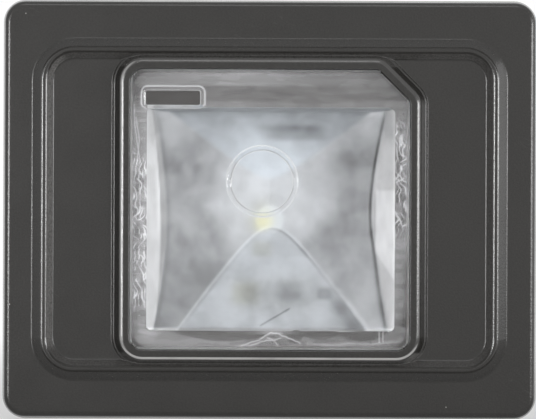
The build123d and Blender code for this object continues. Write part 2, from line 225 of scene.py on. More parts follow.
    def open_to_lamps(self, surface, tint):
        """Glass that lamps shine straight through."""
        shadow = self.node("ShaderNodeLightPath").outputs["Is Shadow Ray"]
        clear = self.node("ShaderNodeBsdfTransparent", {"Color": tint}).outputs[0]
        return self.node("ShaderNodeMixShader", {0: shadow, 1: surface, 2: clear}).outputs[0]

    def seen(self):
        """1 for what is seen directly, mirrored or through glass, and 0 for what only gives light."""
        path = self.node("ShaderNodeLightPath").outputs
        mirrored = self.math("MAXIMUM", path["Is Glossy Ray"], path["Is Transmission Ray"])
        return self.math("MAXIMUM", path["Is Camera Ray"], mirrored)

    def finish(self, surface, output="ShaderNodeOutputMaterial"):
        """Connects the surface and returns the finished material or world."""
        self.node(output, {"Surface": surface})
        return self.owner


def material_tree(name):
    return Tree(bpy.data.materials.new(name))


# Tilts of the black moulding's surfaces, as cosines of the angle from the front. A surface counts for nothing
# at the first number of a pair and in full at the second.
round_edge_tilt = ((0.74, 0.8), (0.997, 0.985))
collar_crown_tilt = ((0.8, 0.88), (0.985, 0.965))
steep_wall_tilt = (0.74, 0.66)
# Where the raised band's inner walls lie, either side of the middle
band_beside = (18.5 * MM, 19.5 * MM)
band_over = (16.4 * MM, 16.8 * MM)
painted_light_right = 0.94  # the direction from which the band's walls get the most painted light: right and a little down
painted_light_up = -0.34


def band_painted_light(tree, normal, facing, level):
    """Painted light from the lower right on the raised band's walls: 1 on its left inner wall, less on the
    walls round the face and 0 elsewhere.
    """
    beside = tree.ranged(tree.size_along(tree.place(), "X"), *band_beside)
    over = tree.ranged(tree.size_along(tree.place(), "Z"), *band_over)
    steep = tree.ranged(facing, *steep_wall_tilt)
    in_front = tree.ranged(level, face_level + 0.1 * MM, face_level)
    wall = tree.times(steep, tree.math("MAXIMUM", beside, over), in_front)
    rightward = tree.times(tree.part_of(normal, "X"), painted_light_right)
    upward = tree.times(tree.part_of(normal, "Z"), painted_light_up)
    return tree.times(wall, tree.ranged(tree.math("ADD", rightward, upward), 0.45, 0.75, 0.4, 1.0))


def collar_painted_highlight(tree, normal, facing, on_collar):
    """Where the collar's painted highlight lies: 1 on the lens collar's round edges that face down, less on
    those that face left and 0 elsewhere.
    """
    downward = tree.ranged(tree.part_of(normal, "Z"), -0.08, -0.26)
    leftward = tree.times(tree.ranged(tree.part_of(normal, "X"), -0.08, -0.26), 0.6)
    crown = tree.within(facing, *collar_crown_tilt)
    return tree.times(tree.math("MAXIMUM", downward, leftward), crown, on_collar)


def edge_shine(tree, normal, facing, level, on_collar):
    """How the plastic shines: more on round edges in front of the face, less on the band's level ones."""
    plain = 0.5
    polished = 0.85
    dull_loss = 0.3
    in_front = tree.ranged(level, face_level - 0.15 * MM, face_level - 0.4 * MM)
    bright = tree.times(tree.within(facing, *round_edge_tilt), in_front)
    level_edge = tree.ranged(tree.size_along(normal, "Z"), 0.08, 0.25)
    dull = tree.times(bright, level_edge, tree.math("SUBTRACT", 1.0, on_collar))
    shine = tree.ranged(tree.math("SUBTRACT", bright, dull), 0.0, 1.0, plain, polished)
    return tree.math("SUBTRACT", shine, tree.times(dull, dull_loss))


def black_plastic():
    """Satin moulded plastic with a fine grain, a little dust and hairline scratches, and painted highlights:
    paler grey on its round edges, on the raised band's walls and on the collar's edges.
    """
    tree = material_tree("black_plastic")
    soft = tree.rounded(0.16 * MM)
    normal = tree.normal()
    facing = tree.size_along(normal, "Y")
    level = tree.part_of(tree.place(), "Y")
    on_collar = tree.ranged(level, collar_level + 0.5 * MM, collar_level + 0.3 * MM)
    cloud = tree.noise(5 * MM, 4.0)
    grain = tree.noise(0.2 * MM, 3.0)
    scratch = tree.hairlines(6 * MM, 0.35 * MM, 0.34, 0.5)
    # painted light on the band's walls, as from a lamp to the lower right: a pale grey mixed in by how much
    # each wall faces it
    band_light_paint = tree.times(band_painted_light(tree, normal, facing, level), tree.spread(grain, 0.35, 0.75))
    # painted highlight along the collar's round edges, in pale grey
    collar_highlight_paint = tree.times(collar_painted_highlight(tree, normal, facing, on_collar), tree.ranged(cloud, 0.2, 0.6, 0.35, 0.7))
    dust = tree.specks(4.0 * MM, 0.1 * MM)
    colour = tree.mixed(cloud, (0.014, 0.0132, 0.0118, 1), (0.0195, 0.0183, 0.0165, 1))
    layers = [
        (tree.spread(grain, 0.0, 0.5), (0.032, 0.03, 0.0275, 1)),
        # painted highlight: paler grey on every edge that the rounded normal turns
        (tree.times(tree.edges(soft), 0.5), (0.1, 0.098, 0.095, 1)),
        (tree.times(scratch, 0.2), (0.07, 0.068, 0.066, 1)),
        (band_light_paint, (0.22, 0.215, 0.21, 1)),
        (collar_highlight_paint, (0.6, 0.59, 0.58, 1)),
        (tree.times(dust, 0.8), (0.5, 0.49, 0.47, 1)),
    ]
    for share, layer in layers:
        colour = tree.mixed(share, colour, layer)
    uneven = tree.math("ADD", cloud, tree.times(grain, 0.6))
    plastic = tree.principled(
        Base_Color=colour,
        Roughness=tree.ranged(uneven, 0.4, 1.2, 0.16, 0.25),
        Normal=tree.bump(grain, 0.014 * MM, soft),
        Specular_IOR_Level=edge_shine(tree, normal, facing, level, on_collar),
    )
    return tree.finish(plastic)


def clear_lens():
    """Polished clear plastic with dust and handling marks, frosted white on the walls of its ring and pad and
    on its round edges, partly frost and partly painted highlight.
    """
    tree = material_tree("clear_lens")
    dust = tree.times(tree.specks(1.8 * MM, 0.06 * MM), 0.6)
    scratch = tree.times(tree.hairlines(5 * MM, 0.25 * MM, 0.36, -0.6), 0.1)
    # frosted white on steep walls and round edges: partly frost and partly painted highlight
    steep = tree.times(tree.ranged(tree.size_along(tree.normal(), "Y"), 0.97, 0.75), 0.07)
    edge = tree.times(tree.edges(tree.rounded(0.15 * MM)), 0.85)
    inside = tree.times(tree.edge_fade("X", lens_low.x), tree.edge_fade("Z", lens_low.z))
    frost_and_highlight = tree.times(tree.math("MAXIMUM", steep, edge), inside)
    marks = tree.math("MAXIMUM", dust, scratch)
    polish = tree.spread(tree.noise(0.8 * MM, 3.0), 0.01, 0.035)
    rough_rim = tree.ranged(inside, 1.0, 0.0, 0.0, 0.6)
    glass = tree.principled(
        Base_Color=(0.985, 0.99, 0.99, 1),
        Roughness=tree.math("MAXIMUM", polish, rough_rim),
        IOR=1.5,
        Transmission_Weight=tree.math("SUBTRACT", 1.0, tree.math("MAXIMUM", marks, frost_and_highlight)),
        Normal=tree.bump(tree.noise(3 * MM, 2.0), 0.012 * MM),
    )
    return tree.finish(tree.open_to_lamps(glass, (0.92, 0.925, 0.93, 1)))


def sealant():
    """Cured bead, grey-brown and glossy, whitened where it is broken, with painted highlights along its
    wrinkles and painted shade between them.
    """
    tree = material_tree("sealant")
    pale = tree.attribute("pale")
    cloud = tree.noise(0.9 * MM, 3.0, (4, 1, 1))
    shade = tree.times(pale, tree.spread(cloud, 0.93, 1.07))
    colour = tree.mixed(shade, (0.014, 0.0115, 0.01, 1), (0.9, 0.895, 0.925, 1))
    rough = tree.spread(cloud, 0.2, 0.35)
    shine = tree.ranged(pale, 0.0, 0.1, 0.1, 0.5)
    return tree.finish(tree.principled(Base_Color=colour, Roughness=rough, Specular_IOR_Level=shine))


def clear_diffuser():
    """Clear plastic with a bluish milky haze, white on the steep walls and warm over the light source."""
    tree = material_tree("clear_diffuser")
    cloud = tree.spread(tree.noise(3.2 * MM, 3.0), -0.06, 0.06)
    tone = tree.math("ADD", tree.attribute("tone"), cloud)
    light = tree.mixed(tree.attribute("wall"), (0.87, 0.93, 1.0, 1), (0.962, 0.957, 0.972, 1))
    light = tree.mixed(tree.attribute("warm"), light, (0.97, 0.95, 0.62, 1))
    milky = tree.principled(
        Base_Color=tree.mixed(tone, (0.02, 0.021, 0.022, 1), light),
        Roughness=0.4,
        IOR=1.4,
        Specular_IOR_Level=0.2,
        Transmission_Weight=tree.math("SUBTRACT", 1.0, tree.attribute("haze")),
        Normal=tree.bump(tree.noise(1.2 * MM, 2.0), 0.03 * MM),
    )
    return tree.finish(tree.open_to_lamps(milky, (0.84, 0.85, 0.86, 1)))


def board_white():
    """White solder mask, a little uneven, with faint raised tracks."""
    tree = material_tree("board_white")
    cloud = tree.noise(2.5 * MM, 3.0)
    track = tree.ranged(tree.cells(2.6 * MM, distance="MANHATTAN"), 0.5, 0.55)
    colour = tree.mixed(cloud, (0.74, 0.76, 0.76, 1), (0.82, 0.83, 0.82, 1))
    colour = tree.mixed(tree.times(track, 0.15), colour, (0.6, 0.62, 0.6, 1))
    normal = tree.bump(track, 0.035 * MM)
    return tree.finish(tree.principled(Base_Color=colour, Roughness=0.45, Normal=normal))


def moulded(name, dark, light, rough, grain_size):
    """A small moulded or fired piece with an uneven matt skin."""
    tree = material_tree(name)
    cloud = tree.noise(grain_size * 6, 3.0)
    grain = tree.noise(grain_size, 2.0)
    colour = tree.mixed(cloud, dark, light)
    uneven = tree.spread(cloud, rough - 0.08, rough + 0.08)
    normal = tree.bump(grain, grain_size * 0.15, tree.rounded(0.08 * MM))
    return tree.finish(tree.principled(Base_Color=colour, Roughness=uneven, Normal=normal))


def metal(name, dark, light, rough, stretch):
    """Rolled or tinned metal with fine lines along the strip."""
    tree = material_tree(name)
    lines = tree.noise(0.12 * MM, 3.0, stretch)
    cloud = tree.noise(2.2 * MM, 3.0)
    colour = tree.mixed(cloud, dark, light)
    uneven = tree.ranged(tree.math("ADD", lines, cloud), 0.7, 1.3, rough - 0.08, rough + 0.1)
    normal = tree.bump(lines, 0.008 * MM, tree.rounded(0.08 * MM))
    return tree.finish(tree.principled(Base_Color=colour, Metallic=1.0, Roughness=uneven, Normal=normal))


def foam():
    """Closed-cell foam with an open skin of small pores."""
    tree = material_tree("foam")
    cloud = tree.noise(3 * MM, 3.0)
    pore = tree.ranged(tree.cells(0.45 * MM), 0.25, 0.6)
    colour = tree.mixed(pore, (0.012, 0.012, 0.013, 1), (0.05, 0.05, 0.052, 1))
    colour = tree.mixed(tree.times(cloud, 0.4), colour, (0.03, 0.03, 0.031, 1))
    normal = tree.bump(pore, 0.08 * MM)
    return tree.finish(tree.principled(Base_Color=colour, Roughness=0.9, Normal=normal))


# Small moulded pieces: dark and light colour, roughness and size of the grain
moulded_looks = {
    "led_white": ((0.78, 0.78, 0.75, 1), (0.88, 0.88, 0.86, 1), 0.4, 0.08 * MM),
    "phosphor": ((0.8, 0.68, 0.14, 1), (0.9, 0.8, 0.26, 1), 0.3, 0.06 * MM),
    "chip_black": ((0.018, 0.018, 0.02, 1), (0.04, 0.04, 0.042, 1), 0.5, 0.06 * MM),
    "chip_tan": ((0.4, 0.29, 0.18, 1), (0.55, 0.42, 0.28, 1), 0.4, 0.05 * MM),
}
# Metals: dark and light colour, roughness and how long the fine lines are along each axis
metal_looks = {
    "tin": ((0.62, 0.62, 0.6, 1), (0.8, 0.8, 0.78, 1), 0.3, (1, 1, 1)),
    "blade_brass": ((0.62, 0.5, 0.28, 1), (0.8, 0.69, 0.45, 1), 0.28, (1, 14, 1)),
    "spring_steel": ((0.36, 0.37, 0.39, 1), (0.56, 0.57, 0.59, 1), 0.3, (12, 12, 1)),
}


def slot_materials():
    """One material for each of the record's slots."""
    made = {
        "black_plastic": black_plastic(),
        "clear_lens": clear_lens(),
        "sealant": sealant(),
        "clear_diffuser": clear_diffuser(),
        "board_white": board_white(),
        "foam": foam(),
    }
    for name, look in moulded_looks.items():
        made[name] = moulded(name, *look)
    for name, look in metal_looks.items():
        made[name] = metal(name, *look)
    return made


sharp_angle = math.radians(50)  # a crease beyond this isn't shaded smooth


def plate_mesh(name, xs, zs, front, back, keep, marks):
    """A closed solid between two sheets of points over the kept cells of a grid, with marks on its points."""
    columns = len(xs)
    rows = len(zs)
    count = columns * rows
    grid = np.arange(count).reshape(columns, rows)
    corners = [grid[:-1, :-1], grid[1:, :-1], grid[1:, 1:], grid[:-1, 1:]]
    cells = np.stack([corner[keep] for corner in corners], axis=1)
    faces = [cells, cells[:, ::-1] + count]
    open_keep = np.pad(keep, 1)
    beside = [open_keep[1:-1, :-2], open_keep[2:, 1:-1], open_keep[1:-1, 2:], open_keep[:-2, 1:-1]]
    for side, neighbour in enumerate(beside):
        bare = keep & ~neighbour
        start = corners[side][bare]
        end = corners[(side + 1) % 4][bare]
        faces.append(np.stack([end, start, start + count, end + count], axis=1))
    used, faces = np.unique(np.concatenate(faces), return_inverse=True)
    across, along = np.meshgrid(xs, zs, indexing="ij")
    points = [np.stack([across, level, along], axis=-1).reshape(-1, 3) for level in (front, back)]
    points = np.concatenate(points)[used]
    mesh = bpy.data.meshes.new(name)
    mesh.from_pydata(points.tolist(), [], faces.reshape(-1, 4).tolist())
    mesh.shade_smooth()
    mesh.set_sharp_from_angle(angle=sharp_angle)
    for mark, (on_front, on_back) in marks.items():
        values = np.concatenate([on_front.ravel(), on_back.ravel()])[used]
        mesh.attributes.new(mark, "FLOAT", "POINT").data.foreach_set("value", values.astype(np.float32))
    piece = bpy.data.objects.new(name, mesh)
    scene.collection.objects.link(piece)
    return piece


def grid_lines(low, high, step):
    return np.linspace(low, high, round((high - low) / step) + 1)


def cell_middles(across):
    """The middles of a grid's cells, along one of its axes."""
    return (across[1:, 1:] + across[:-1, :-1]) / 2


def rounded_box(x, z, half_width, half_height, radius):
    """How far points lie inside a rounded rectangle about the origin."""
    out_x = np.abs(x) - (half_width - radius)
    out_z = np.abs(z) - (half_height - radius)
    outside = np.hypot(np.maximum(out_x, 0), np.maximum(out_z, 0))
    return radius - outside - np.minimum(np.maximum(out_x, out_z), 0)


def hill(distance, width):
    """1 at no distance, falling smoothly to 0 past the width."""
    return np.exp(-((distance / width) ** 2))


def smooth_step(value, start, end):
    """0 before the start and 1 past the end, which may lie either way from it."""
    share = np.clip((value - start) / (end - start), 0, 1)
    return share * share * (3 - 2 * share)


def profile(along, level, changes):
    """A level that each change moves by its amount between its start and its end."""
    return level + sum(amount * smooth_step(along, start, end) for amount, start, end in changes)


def line_distance(x, z, start, end):
    """Distance of points from a straight stretch."""
    along = (end[0] - start[0], end[1] - start[1])
    share = ((x - start[0]) * along[0] + (z - start[1]) * along[1]) / (along[0] ** 2 + along[1] ** 2)
    share = np.clip(share, 0, 1)
    return np.hypot(x - start[0] - share * along[0], z - start[1] - share * along[1])


def path_distance(x, z, corners):
    """Distance of points from a line through several corners."""
    stretches = zip(corners[:-1], corners[1:])
    return np.min([line_distance(x, z, start, end) for start, end in stretches], axis=0)


def drawn_lines(x, z, lines, width):
    """1 along any of several lines, falling smoothly to 0 past the width."""
    return np.max([hill(path_distance(x, z, line), width) for line in lines], axis=0)


def cloud_map(x, z, size_x, size_z, seed):
    """Noise at each point of a grid, from about -1 to 1."""
    flat = [noise.noise(Vector((a / size_x, seed, b / size_z))) for a, b in zip(x.ravel(), z.ravel())]
    return np.array(flat).reshape(x.shape)


def strands(x, z, spacing, length, slant, seed):
    """1 along thin broken strands that lean from the upright, and 0 between them."""
    sway = 1.4 * cloud_map(x, z, 2 * spacing, 0.5 * length, seed)
    unbroken = smooth_step(cloud_map(x, z, 1.5 * spacing, 0.4 * length, seed + 3.7), -0.1, 0.25)
    phase = (x + slant * z) / spacing + sway
    return np.clip(1.2 - 2.6 * np.abs(np.sin(math.pi * phase)), 0, 1) * unbroken


# The clear dish behind the lens
dish_rim = 0.45 * MM
dish_depth = 9.8 * MM
dish_least_depth = 0.15 * MM
dish_cone_radius = 22.0 * MM
dish_floor_radius = 1.7 * MM
dish_side_slope = {"left": 2.05, "right": 1.95}
dish_left_bow = 0.12  # share of the left wall's slope that it loses at its ends
dish_right_rise = 0.27  # how much steeper the right wall is below than above
dish_right_turn = (1.0 * MM, -6.0 * MM)  # heights between which it grows steeper
dish_top_sill = 2.0 * MM
dish_floor_above = 2.9 * MM
dish_apex = (0.33 * MM, -1.0 * MM)  # where the bottom wall comes highest
dish_apex_round = 3.9 * MM
dish_arm_slope = 1.4  # of its edge far from there
dish_bottom_lean = 0.19  # how much faster it rises than the cone
dish_top_rim_slope = 6.0
dish_bottom_rim_slope = 12.0
dish_wall = 1.1 * MM
dish_corner = 1.05 * MM
dish_leg_radius = 1.0 * MM
dish_leg_inset = 1.7 * MM  # of a leg's middle from the dish's edges
dish_leg_gap = 0.02 * MM  # between a leg and the board
dish_grid = 0.15 * MM
mouth_half_width = (dish_high.x - dish_low.x) / 2 - dish_rim
mouth_half_height = (dish_high.z - dish_low.z) / 2 - dish_rim
led_skin = 0.5 * MM
led_gap = 0.35 * MM
crease_round = 0.05 * MM
crease_step = 0.2 * MM  # of the bottom wall above the cone
crease_width = 0.3 * MM  # over which it steps up
foot_fall = 0.5  # about the cone's slope, which adds to a side wall's at its foot
groove_depth = 0.12 * MM  # along the foot of the right wall
groove_inset = 0.1 * MM
groove_narrow = 0.12 * MM
groove_widening = 0.13 * MM
groove_turn = (-2.0 * MM, -9.0 * MM)  # heights between which it widens
left_crease_inset = 0.15 * MM  # of the faint line of painted shade along the foot of the left wall
left_crease_width = 0.2 * MM
dish_haze = 0.74  # share of the light that the plastic scatters
dish_steep_haze = 0.18  # more on steep walls and in the groove


def below_crease(u, v):
    """How far below the bottom wall's curved upper edge points lie, and their distance from it."""
    aside = dish_arm_slope * (u - dish_apex[0])
    reach = np.hypot(dish_apex_round, aside)
    drop = dish_apex[1] + dish_apex_round - reach - v
    return drop, drop / np.hypot(1, dish_arm_slope * aside / reach)


def dish_sides(u, v):
    """Depth of each face of the dish below the lens, and how steep the face is."""
    cone_slope = dish_depth / (dish_cone_radius - dish_floor_radius)
    cone = cone_slope * (dish_cone_radius - np.hypot(u, v))
    top_slope = (dish_depth - dish_top_sill) / (mouth_half_height - dish_floor_above)
    bottom = np.minimum(cone, dish_depth) - dish_bottom_lean * below_crease(u, v)[0]
    ends = (v / mouth_half_height) ** 2
    left_slope = dish_side_slope["left"] * (1 - dish_left_bow * ends)
    right_slope = dish_side_slope["right"] + dish_right_rise * smooth_step(v, *dish_right_turn)
    rim_slope = np.where(v > 0, dish_top_rim_slope, dish_bottom_rim_slope)
    return {
        "cone": (cone, cone_slope),
        "top": (dish_top_sill + top_slope * (mouth_half_height - v), top_slope),
        "bottom": (bottom, cone_slope + dish_bottom_lean),
        "left": (left_slope * (mouth_half_width + u), dish_side_slope["left"]),
        "right": (right_slope * (mouth_half_width - u), dish_side_slope["right"]),
        "rim": (rim_slope * (mouth_half_height - np.abs(v)), dish_bottom_rim_slope),
        "floor": (np.full_like(u, dish_depth), 0.0),
    }


def least_of(depths, round_by):
    """The least of several depths with the corners between them rounded, and the share of each."""
    depths = np.array(depths)
    least = depths.min(axis=0)
    shares = np.exp((least - depths) / round_by)
    total = shares.sum(axis=0)
    return least - np.log(total) * round_by, shares / total


def past_foot(sides, name):
    """How far points lie past the foot of a side wall, on the cone."""
    return (sides[name][0] - sides["cone"][0]) / (dish_side_slope[name] + foot_fall)


def dish_rear(x, z, sides):
    """Depth of the dish's back: a wall behind its faces, thin over the light source, with four legs."""
    behind = [depth + dish_wall * math.hypot(1, slope) for depth, slope in sides.values()]
    rear = least_of(behind, crease_round)[0]
    over_led = np.abs(x - led_middle.x) < (led_high.x - led_low.x) / 2 + led_gap
    over_led &= np.abs(z - led_middle.z) < (led_high.z - led_low.z) / 2 + led_gap
    rear = np.where(over_led, np.minimum(rear, dish_depth + led_skin), rear)
    leg_x = (dish_high.x - dish_low.x) / 2 - dish_leg_inset
    leg_z = (dish_high.z - dish_low.z) / 2 - dish_leg_inset
    from_leg = np.hypot(np.abs(x - dish_middle.x) - leg_x, np.abs(z - dish_middle.z) - leg_z)
    return np.where(from_leg < dish_leg_radius, board_low.y - lens_back - dish_leg_gap, rear)


# How pale the dish's faces are, and how that changes with height: amount, start and end in millimetres
dish_tones = {
    "left_lobe": (0.28, [(-0.1, -2.0, -9.0), (0.1, 7.0, 12.0), (0.05, 11.5, 12.4)]),
    "right_lobe": (0.23, [(0.07, -3.0, -8.0), (0.04, -9.0, -11.5), (0.09, 8.0, 11.5), (0.12, 11.7, 12.6)]),
    "top": (0.39, [(-0.05, 10.0, 12.0), (-0.12, 11.6, 13.2)]),
    "bottom": (0.39, [(0.04, -8.0, -4.0)]),
    "left": (0.59, [(-0.12, 6.0, 10.0), (-0.08, -8.0, -12.0)]),
    "right": (0.44, [(-0.12, 6.0, 11.0), (0.04, -4.0, -7.5)]),
}
left_inner_tone = 0.34
top_rim_tone = 0.08  # more than the top wall's
bottom_rim_tone = 0.39
floor_tone = 0.37
groove_shade_tone = 0.24  # painted shade in the groove: this much darker
left_foot_shade_tone = 0.07
seam_tone = 0.25
seam_width = 0.1
seam = [(-1.0, -12.4), (2.3, -10.5)]  # a fine line across the bottom wall
led_warmth = 0.8
# Soft dark places where chips and joints show through the haze: middle, half sizes, depth and warmth
smudges = [
    ((-7.8, 5.4), (1.5, 1.4), 0.11, 0.0),
    ((-11.1, 6.1), (0.9, 1.0), 0.05, 0.0),
    ((10.1, 7.2), (2.2, 1.1), 0.07, 0.0),
    ((2.7, 10.2), (3.4, 0.9), 0.28, 0.0),
    ((1.6, 11.4), (3.4, 1.2), 0.1, 0.0),
    ((3.4, 8.7), (0.7, 1.2), 0.06, 0.0),
    ((7.8, -0.4), (1.6, 1.6), 0.08, 0.0),
    ((10.4, 2.2), (1.2, 1.5), 0.07, 0.0),
    ((-7.6, -0.9), (1.6, 2.0), 0.06, 0.0),
    ((-10.0, -3.9), (1.5, 2.0), 0.06, 0.0),
    ((-2.8, -8.7), (1.6, 1.3), 0.085, 0.3),
    ((2.5, -8.4), (1.6, 1.3), 0.1, 0.0),
    ((6.5, -8.7), (0.9, 0.7), 0.18, 0.0),
    ((-0.9, -3.5), (1.2, 0.9), 0.05, 0.2),
    ((0.6, -8.8), (5.0, 2.2), 0.05, 0.05),
]


def smudge_at(u, v, middle, half_size):
    """1 inside a soft block of that size, falling to 0 round it."""
    across = (u - middle[0]) / half_size[0]
    along = (v - middle[1]) / half_size[1]
    return np.exp(-(across ** 4) - along ** 4)


def led_glow(u, v, share):
    """The light source's yellow in the floor, fading upwards and cut off by the bottom wall."""
    across = hill(u + 0.8, 1.25)
    main = hill(v + 0.5, 1.1)
    above = hill(v - 0.9, 1.4)
    return across * (0.9 * main + 0.3 * above) * (1 - share["bottom"])


def middle_light(u, v, share):
    """The light round the middle of the dish, weaker on the bottom wall."""
    from_middle = np.hypot(u - 0.3, v - 4.0)
    wide = 0.22 * smooth_step(from_middle, 10.0, 5.0) * (1 - 0.8 * share["bottom"])
    return wide + 0.15 * hill(from_middle, 3.6)


def left_wall_tone(u, v):
    """White in a bowed strip along the outer edge, most at the strip's inner border, and grey inside it."""
    strip_width = 1.66 - 1.1 * ((v + 1.5) / 15.0) ** 2
    past_strip = u + mouth_half_width / MM - strip_width
    border = smooth_step(past_strip, -0.6, -0.1) * hill(v - 2.0, 4.5)
    white = profile(v, *dish_tones["left"]) + 0.18 * border
    return white + (left_inner_tone - white) * smooth_step(past_strip, -0.08, 0.08)


def right_wall_tone(u, v):
    """Grey above, white beside the light source except along its inner edge, and pale below."""
    from_edge = mouth_half_width / MM - u
    beside = smooth_step(v, 3.7, 3.2) * smooth_step(v - 1.55 * from_edge, -7.2, -6.6)
    outer = smooth_step(from_edge, 2.1, 1.9)
    fine_line = hill(from_edge - 2.05, 0.08)
    return profile(v, *dish_tones["right"]) + (0.02 + 0.15 * outer - 0.1 * fine_line) * beside


def top_edge_light_and_shade(u, v, share, above_edge):
    """Painted highlight and shade along the top wall's slanting edges, the other way round in the upper left
    corner.
    """
    in_corner = smooth_step(v, 10.8, 12.2) * smooth_step(u, -9.0, -11.0)
    flip = 1 - 2 * in_corner
    aside = smooth_step(np.abs(u), 4.0, 6.5)
    above = np.where(u < 0, 0.05 * flip, -0.06) * hill(above_edge - 0.4, 0.8) * share["top"]
    below = np.where(u < 0, -0.03 * flip, 0.05) * hill(above_edge + 0.5, 0.9) * share["cone"]
    return (above + below) * aside


def bottom_edge_light_and_shade(u, v, arm):
    """Painted highlight and shade along the bottom wall's curved upper edge, strongest in the lower right
    corner, where a wide painted shadow lies beside it.
    """
    in_corner = smooth_step(u, 6.0, 8.0) * smooth_step(v, -7.5, -10.5)
    past_apex = smooth_step(u, -1.0, 1.0) * smooth_step(v, -7.0, -3.0)
    light = 0.14 - 0.1 * smooth_step(u, 4.3, 5.5) - 0.1 * hill(u - dish_apex[0] / MM, 1.4)
    return (
        light * hill(arm + 0.12, 0.16)
        + 0.16 * hill(arm + 0.3, 0.3) * in_corner
        - 0.18 * hill(arm - 0.14, 0.14) * past_apex
        # painted shadow beside the arm in the lower right corner
        - 0.22 * hill(arm - 0.8, 1.1) * in_corner
    )


def corner_glints(u, v):
    """Bright ends of the bottom rim."""
    in_corner = smooth_step(u, -10.4, -10.8) + smooth_step(u, 10.9, 11.3)
    return 0.3 * hill(v + mouth_half_height / MM - 0.15, 0.2) * in_corner


def dish_tone(u, v, share, arm, above_edge):
    """How pale and how warm the dish is, from its faces, the painted light in its middle, the painted
    highlights and shade along its edges, and the lines on it.
    """
    left_lobe = profile(v, *dish_tones["left_lobe"])
    right_lobe = profile(v, *dish_tones["right_lobe"])
    top = profile(v, *dish_tones["top"])
    tone = (
        share["cone"] * np.where(u < 0, left_lobe, right_lobe)
        + share["top"] * top
        + share["bottom"] * profile(v, *dish_tones["bottom"])
        + share["left"] * left_wall_tone(u, v)
        + share["right"] * right_wall_tone(u, v)
        + share["rim"] * np.where(v > 0, top + top_rim_tone, bottom_rim_tone)
        + share["floor"] * floor_tone
        + middle_light(u, v, share)
        + top_edge_light_and_shade(u, v, share, above_edge)
        + bottom_edge_light_and_shade(u, v, arm)
        + corner_glints(u, v)
        - seam_tone * drawn_lines(u, v, [seam], seam_width)
    )
    warm = led_warmth * led_glow(u, v, share)
    for middle, half_size, depth, warmth in smudges:
        here = smudge_at(u, v, middle, half_size)
        tone -= depth * here
        warm += warmth * here
    return tone, np.clip(warm, 0, 1)


def dish():
    """The milky dish: a cone cut by slanting walls, with a small step where the bottom wall meets it."""
    xs = grid_lines(dish_low.x, dish_high.x, dish_grid)
    zs = grid_lines(dish_low.z, dish_high.z, dish_grid)
    x, z = np.meshgrid(xs, zs, indexing="ij")
    u = x - dish_middle.x
    v = z - dish_middle.z
    sides = dish_sides(u, v)
    depth, shares = least_of([side[0] for side in sides.values()], crease_round)
    share = dict(zip(sides, shares))
    arm = below_crease(u, v)[1]
    on_bottom = smooth_step(arm, 0.0, crease_width) * (share["bottom"] + share["rim"])
    depth = np.maximum(depth - crease_step * on_bottom, dish_least_depth)
    groove_width = groove_narrow + groove_widening * smooth_step(v, *groove_turn)
    groove = hill(past_foot(sides, "right") - groove_inset, groove_width) * (1 - share["rim"])
    depth += groove_depth * groove
    rear = dish_rear(x, z, sides)
    middle_x = cell_middles(x) - dish_middle.x
    middle_z = cell_middles(z) - dish_middle.z
    keep = rounded_box(middle_x, middle_z, dish_high.x, mouth_half_height + dish_rim, dish_corner) > 0
    left_crease = hill(past_foot(sides, "left") - left_crease_inset, left_crease_width) * share["cone"]
    above_edge = (sides["cone"][0] - sides["top"][0]) / sides["top"][1]
    tone, warm = dish_tone(u / MM, v / MM, share, arm / MM, above_edge / MM)
    # painted shade in the groove and along the foot of the left wall
    tone -= groove_shade_tone * groove + left_foot_shade_tone * left_crease
    steep = share["left"] + share["right"] + share["rim"] * (v < 0)
    haze = dish_haze + dish_steep_haze * np.maximum(steep, groove)
    wall = steep + 0.65 * share["cone"] + 0.3 * (share["bottom"] + share["floor"])
    nothing = np.zeros_like(u)
    marks = {"tone": (tone, tone), "wall": (wall, nothing), "haze": (haze, nothing), "warm": (warm, warm)}
    piece = plate_mesh("optic_dish", xs, zs, lens_back + depth, lens_back + rear, keep, marks)
    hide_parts("diffuser")
    return piece


# The bead under the lens's edge
bead_grid = 0.085 * MM
bead_inset = 0.02 * MM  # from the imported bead's edges
bead_half_width = bead_high.x - bead_inset
bead_half_height = bead_high.z - bead_inset
bead_corner = 2.3 * MM
bead_gap = 0.07 * MM  # behind the lens
bead_film = 0.06 * MM  # thickness of what is squeezed out over the dish's rim
bead_fade = (-0.05 * MM, 0.4 * MM)  # over which the bead darkens towards the lens's edge
wrinkle_height = 0.03 * MM
creep_reach = 0.2 * MM  # of the bead over the dish's lower rim
creep_height = 2 * MM
lens_cut = 3.65 * MM
mouth_corner = 0.7 * MM
mouth_shift = 0.1 * MM  # of the bead's opening to the right
chamber_rim = 0.6 * MM  # from the dish's mouth to the chamber's wall

# What the bead shows, in millimetres
pad_middle = (-11.28, 12.97)  # the lens's blank pad, under which the bead is dark
pad_half_length = 3.2
pad_half_height = 0.875
pad_corner = 0.3
side_tones = {
    "left": (0.22, [(-0.1, -9.0, -11.5), (-0.05, 6.0, 9.0)]),
    "right": (0.17, [(-0.02, -3.0, -6.0), (-0.07, -10.5, -12.0), (-0.08, 11.2, 12.2)]),
}
strand_layers = [(0.3, 7.7), (-0.3, 15.2), (0.1, 51.3)]  # lean and seed of each
strand_highlight_tone = 0.45  # how much paler each kind of mark is; along the strands it is a painted highlight of the wrinkles
crest_tone = 0.1
lap_tone = 0.12
crack_tone = 0.22
thread_tone = 0.25
pocket_shade_tone = 0.1  # painted shade in the pockets between the wrinkles: this much darker
wave_top = -13.9
waves = [(-5.2, 7.2, 1.5), (2.9, 1.6, 1.7), (6.0, 3.0, 1.3), (10.8, 3.6, 1.45)]  # middle, half length, depth
pale_crest = [(4.5, -15.6), (8.0, -15.75), (9.5, -15.5), (12.0, -15.6), (15.0, -15.3)]
corner_curl = [(-14.9, -13.4), (-14.8, -14.2), (-13.5, -14.6)]
